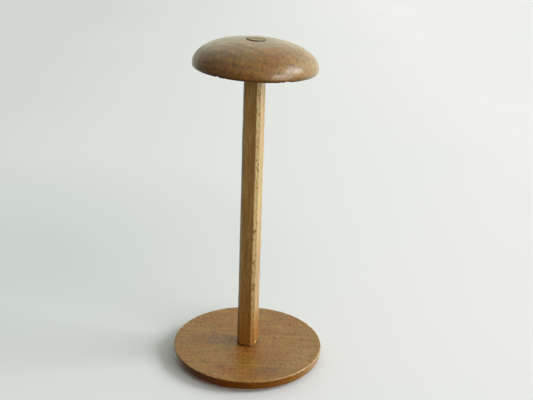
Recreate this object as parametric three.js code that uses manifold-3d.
// Turned wooden hat stand: a round base, an upright square post with planed corners, and a
// low mushroom-shaped head that carries the crown of a hat. The post has a round tenon at
// each end. Each tenon goes right through its board, is sawn across, and is spread by a
// hardwood wedge. Millimetres, +Z up. The origin is the middle of the base's foot plane.
import * as THREE from "three";
import { mergeVertices } from "three/addons/utils/BufferGeometryUtils.js";
import Module from "manifold-3d";

const wasm = await Module();
wasm.setup();

// ---------------------------------------------------------------- driving dimensions
const BASE_RADIUS = 75.7;
const BASE_THICKNESS = 13;
const BASE_ARRIS_RADIUS = 0.8; // worn top edge
const BASE_WALL_FOOT_Z = 6; // below this height the side rounds in under the board
const BASE_WALL_FOOT_RADIUS = 75.2;
const FOOT_OUTER_RADIUS = 61;
const FOOT_INNER_RADIUS = 46;
const FOOT_HOLLOW_DEPTH = 1.2; // the underside is turned hollow inside the foot ring
const FOOT_HOLLOW_SLOPE = 3;

const POST_LENGTH = 286.5; // clear length between the base and the head
const POST_WIDTH_FOOT = 18.3; // across the flats at the base
const POST_WIDTH_HEAD = 17.4; // across the flats under the head
const POST_CORNER_LEG = 3; // leg of the planed corner
const POST_TURN = THREE.MathUtils.degToRad(-20);

const HEAD_RADIUS = 58.3; // widest, a little above the underside
const HEAD_UNDERSIDE_RADIUS = 56.9;
const HEAD_WIDEST_Z = 3;
const HEAD_THICKNESS = 26.4;
const HEAD_SHOULDER_POWER = 2.64; // the dome's outline is a superellipse: fullness of its side
const HEAD_CROWN_POWER = 1.9; // and flatness of its crown
const HEAD_TILT = THREE.MathUtils.degToRad(2.1); // the head sits a little low on its +X side

const TENON_RADIUS = 8.6;
const FIT_GAP = 0.3; // between a tenon and its bore, and on each side of a wedge
const TENON_PROUD_HEAD = 0.7; // the end grain stands above the shrunken head
const TENON_PROUD_BASE = 0.4; // and below the hollow of the base, clear of the ground
const WEDGE_WIDTH = 16.6;
const WEDGE_TIP_THICKNESS = 0.6;
const HEAD_WEDGE_THICKNESS = 1.8;
const HEAD_WEDGE_LENGTH = 18;
const BASE_WEDGE_THICKNESS = 1.6;
const BASE_WEDGE_LENGTH = 9;

const ROUND_SEGMENTS = 64;
const TENON_SEGMENTS = 32;
const CROWN_STEPS = 14;
const HEAD_EDGE_STEPS = 3;
const BASE_EDGE_STEPS = 5;
const ARRIS_STEPS = 3;
const CUT_SIZE = 200; // a block larger than whatever it trims
const CUT_OVERRUN = 10; // how far a bore or kerf cutter runs past what it cuts
const SPARE_LENGTH = 2; // stock left on a shaft or tenon until it is trimmed
const TENON_ROOT = 5; // each tenon starts this far inside the shaft

// ---------------------------------------------------------------- derived places
const postFootZ = BASE_THICKNESS;
const headUndersideZ = BASE_THICKNESS + POST_LENGTH;
const boreRadius = TENON_RADIUS + FIT_GAP;
const headTenonEndZ = headUndersideZ + HEAD_THICKNESS + TENON_PROUD_HEAD;
const baseTenonEndZ = FOOT_HOLLOW_DEPTH - TENON_PROUD_BASE;

// ---------------------------------------------------------------- materials
const wood = (color, roughness) =>
  new THREE.MeshStandardMaterial({ color, roughness, metalness: 0 });
const headWood = wood("#8f6a42", 0.4);
const postWood = wood("#a37c49", 0.5);
const baseWood = wood("#8a6843", 0.4);
const wedgeWood = wood("#6d4a29", 0.55);

// ---------------------------------------------------------------- solids and booleans
function solidFrom(geometry) {
  const plain = geometry.clone();
  plain.deleteAttribute("normal");
  plain.deleteAttribute("uv");
  const merged = mergeVertices(plain, 1e-4);
  return new wasm.Manifold(
    new wasm.Mesh({
      numProp: 3,
      vertProperties: merged.attributes.position.array,
      triVerts: new Uint32Array(merged.index.array),
    }),
  );
}

function geometryFrom(solid) {
  const mesh = solid.getMesh();
  const geometry = new THREE.BufferGeometry();
  const position = new THREE.BufferAttribute(mesh.vertProperties, mesh.numProp);
  geometry.setAttribute("position", position);
  geometry.setIndex(new THREE.BufferAttribute(mesh.triVerts, 1));
  geometry.computeVertexNormals();
  return geometry;
}

// A profile of [radius, height] points turned about the Z axis.
function turned(profile, segments = ROUND_SEGMENTS) {
  const points = profile.map(([r, z]) => new THREE.Vector2(r, z));
  return new THREE.LatheGeometry(points, segments).rotateX(Math.PI / 2);
}

function cylinder(radius, fromZ, toZ, segments = TENON_SEGMENTS) {
  return turned([[0, fromZ], [radius, fromZ], [radius, toZ], [0, toZ]], segments);
}

// Removes all that is above the plane which passes through (0, 0, z) at the head's tilt.
function trimmedAboveTiltedPlane(solid, z) {
  const block = new THREE.BoxGeometry(CUT_SIZE, CUT_SIZE, CUT_SIZE)
    .translate(0, 0, CUT_SIZE / 2)
    .rotateY(HEAD_TILT)
    .translate(0, 0, z);
  return solid.subtract(solidFrom(block));
}

// A wedge with its thick end at the origin, its thickness along Y, and its tip `length`
// further down the Z axis.
function wedgeGeometry(width, thickness, tip, length) {
  const side = new THREE.Shape([
    new THREE.Vector2(-tip / 2, 0),
    new THREE.Vector2(tip / 2, 0),
    new THREE.Vector2(thickness / 2, length),
    new THREE.Vector2(-thickness / 2, length),
  ]);
  return new THREE.ExtrudeGeometry(side, { depth: width, bevelEnabled: false })
    .translate(0, -length, -width / 2)
    .rotateY(Math.PI / 2)
    .rotateX(Math.PI / 2);
}

// The saw kerf that a wedge is driven into. It is open past both sides of the tenon, and it
// starts above the wedge's thick end, so it keeps FIT_GAP to the wedge all round.
function kerfGeometry(thickness, length) {
  const slope = (thickness - WEDGE_TIP_THICKNESS) / length;
  return wedgeGeometry(
    2 * (TENON_RADIUS + CUT_OVERRUN),
    thickness + 2 * FIT_GAP + slope * SPARE_LENGTH,
    WEDGE_TIP_THICKNESS + 2 * FIT_GAP - slope * FIT_GAP,
    length + SPARE_LENGTH + FIT_GAP,
  ).translate(0, 0, SPARE_LENGTH);
}

// ---------------------------------------------------------------- base
function baseProfile() {
  const hollowZ = FOOT_HOLLOW_DEPTH;
  const profile = [
    [boreRadius, hollowZ],
    [FOOT_INNER_RADIUS - FOOT_HOLLOW_SLOPE, hollowZ],
    [FOOT_INNER_RADIUS, 0],
    [FOOT_OUTER_RADIUS, 0],
  ];
  // quarter ellipse from the foot out to the lower edge of the side wall
  for (let i = 1; i <= BASE_EDGE_STEPS; i++) {
    const angle = (i / BASE_EDGE_STEPS) * (Math.PI / 2);
    profile.push([
      FOOT_OUTER_RADIUS + (BASE_WALL_FOOT_RADIUS - FOOT_OUTER_RADIUS) * Math.sin(angle),
      BASE_WALL_FOOT_Z * (1 - Math.cos(angle)),
    ]);
  }
  // worn arris round the top edge
  for (let i = 0; i <= ARRIS_STEPS; i++) {
    const angle = (i / ARRIS_STEPS) * (Math.PI / 2);
    profile.push([
      BASE_RADIUS - BASE_ARRIS_RADIUS * (1 - Math.cos(angle)),
      BASE_THICKNESS - BASE_ARRIS_RADIUS * (1 - Math.sin(angle)),
    ]);
  }
  profile.push([boreRadius, BASE_THICKNESS], [boreRadius, hollowZ]);
  return profile;
}

function makeBase() {
  const mesh = new THREE.Mesh(turned(baseProfile()), baseWood);
  mesh.name = "base";
  return mesh;
}

// ---------------------------------------------------------------- post
function postSection(width) {
  const half = width / 2;
  const flat = half - POST_CORNER_LEG;
  return new THREE.Shape([
    new THREE.Vector2(half, -flat),
    new THREE.Vector2(half, flat),
    new THREE.Vector2(flat, half),
    new THREE.Vector2(-flat, half),
    new THREE.Vector2(-half, flat),
    new THREE.Vector2(-half, -flat),
    new THREE.Vector2(-flat, -half),
    new THREE.Vector2(flat, -half),
  ]);
}

// The shaft is extruded past its upper shoulder, tapered, and trimmed to the head's tilt.
function postShaft() {
  const geometry = new THREE.ExtrudeGeometry(postSection(POST_WIDTH_FOOT), {
    depth: POST_LENGTH + SPARE_LENGTH,
    bevelEnabled: false,
  });
  const position = geometry.attributes.position;
  const shrink = (1 - POST_WIDTH_HEAD / POST_WIDTH_FOOT) / POST_LENGTH;
  for (let i = 0; i < position.count; i++) {
    const scale = 1 - shrink * position.getZ(i);
    position.setX(i, position.getX(i) * scale);
    position.setY(i, position.getY(i) * scale);
  }
  geometry.rotateZ(POST_TURN).translate(0, 0, postFootZ + FIT_GAP);
  return trimmedAboveTiltedPlane(solidFrom(geometry), headUndersideZ - FIT_GAP);
}

function makePost() {
  const headTenonStock = cylinder(
    TENON_RADIUS,
    headUndersideZ - TENON_ROOT,
    headTenonEndZ + SPARE_LENGTH,
  );
  const headTenon = trimmedAboveTiltedPlane(solidFrom(headTenonStock), headTenonEndZ);
  const baseTenon = solidFrom(cylinder(TENON_RADIUS, baseTenonEndZ, postFootZ + TENON_ROOT));
  const headKerf = solidFrom(
    kerfGeometry(HEAD_WEDGE_THICKNESS, HEAD_WEDGE_LENGTH).translate(0, 0, headTenonEndZ),
  );
  const baseKerf = solidFrom(
    kerfGeometry(BASE_WEDGE_THICKNESS, BASE_WEDGE_LENGTH)
      .rotateX(Math.PI)
      .rotateZ(Math.PI / 2)
      .translate(0, 0, baseTenonEndZ),
  );
  const post = postShaft()
    .add(headTenon)
    .add(baseTenon)
    .subtract(headKerf)
    .subtract(baseKerf);
  const mesh = new THREE.Mesh(geometryFrom(post), postWood);
  mesh.name = "post";
  return mesh;
}

// ---------------------------------------------------------------- head
function headProfile() {
  const profile = [[0, 0], [HEAD_UNDERSIDE_RADIUS, 0]];
  for (let i = 1; i < HEAD_EDGE_STEPS; i++) {
    const angle = (i / HEAD_EDGE_STEPS) * (Math.PI / 2);
    profile.push([
      HEAD_UNDERSIDE_RADIUS + (HEAD_RADIUS - HEAD_UNDERSIDE_RADIUS) * Math.sin(angle),
      HEAD_WIDEST_Z * (1 - Math.cos(angle)),
    ]);
  }
  const rise = HEAD_THICKNESS - HEAD_WIDEST_Z;
  for (let i = 0; i < CROWN_STEPS; i++) {
    const angle = (i / CROWN_STEPS) * (Math.PI / 2);
    profile.push([
      HEAD_RADIUS * Math.cos(angle) ** (2 / HEAD_SHOULDER_POWER),
      HEAD_WIDEST_Z + rise * Math.sin(angle) ** (2 / HEAD_CROWN_POWER),
    ]);
  }
  profile.push([0, HEAD_THICKNESS]);
  return profile;
}

function makeHead() {
  const block = turned(headProfile()).rotateY(HEAD_TILT).translate(0, 0, headUndersideZ);
  const bore = cylinder(
    boreRadius,
    headUndersideZ - CUT_OVERRUN,
    headTenonEndZ + CUT_OVERRUN,
  );
  const mesh = new THREE.Mesh(
    geometryFrom(solidFrom(block).subtract(solidFrom(bore))),
    headWood,
  );
  mesh.name = "head";
  return mesh;
}

// ---------------------------------------------------------------- wedges
// Each wedge lies across the grain of its board, so that it can't split the board.
function makeHeadWedge() {
  const geometry = wedgeGeometry(
    WEDGE_WIDTH,
    HEAD_WEDGE_THICKNESS,
    WEDGE_TIP_THICKNESS,
    HEAD_WEDGE_LENGTH,
  ).translate(0, 0, headTenonEndZ);
  const trimmed = trimmedAboveTiltedPlane(solidFrom(geometry), headTenonEndZ - FIT_GAP);
  const mesh = new THREE.Mesh(geometryFrom(trimmed), wedgeWood);
  mesh.name = "head_wedge";
  return mesh;
}

function makeBaseWedge() {
  const geometry = wedgeGeometry(
    WEDGE_WIDTH,
    BASE_WEDGE_THICKNESS,
    WEDGE_TIP_THICKNESS,
    BASE_WEDGE_LENGTH,
  );
  const mesh = new THREE.Mesh(geometry, wedgeWood);
  mesh.name = "base_wedge";
  mesh.rotation.set(Math.PI, 0, Math.PI / 2);
  mesh.position.set(0, 0, baseTenonEndZ);
  return mesh;
}

const hatStand = new THREE.Group();
hatStand.add(makeBase(), makePost(), makeHead(), makeHeadWedge(), makeBaseWedge());

export default hatStand;
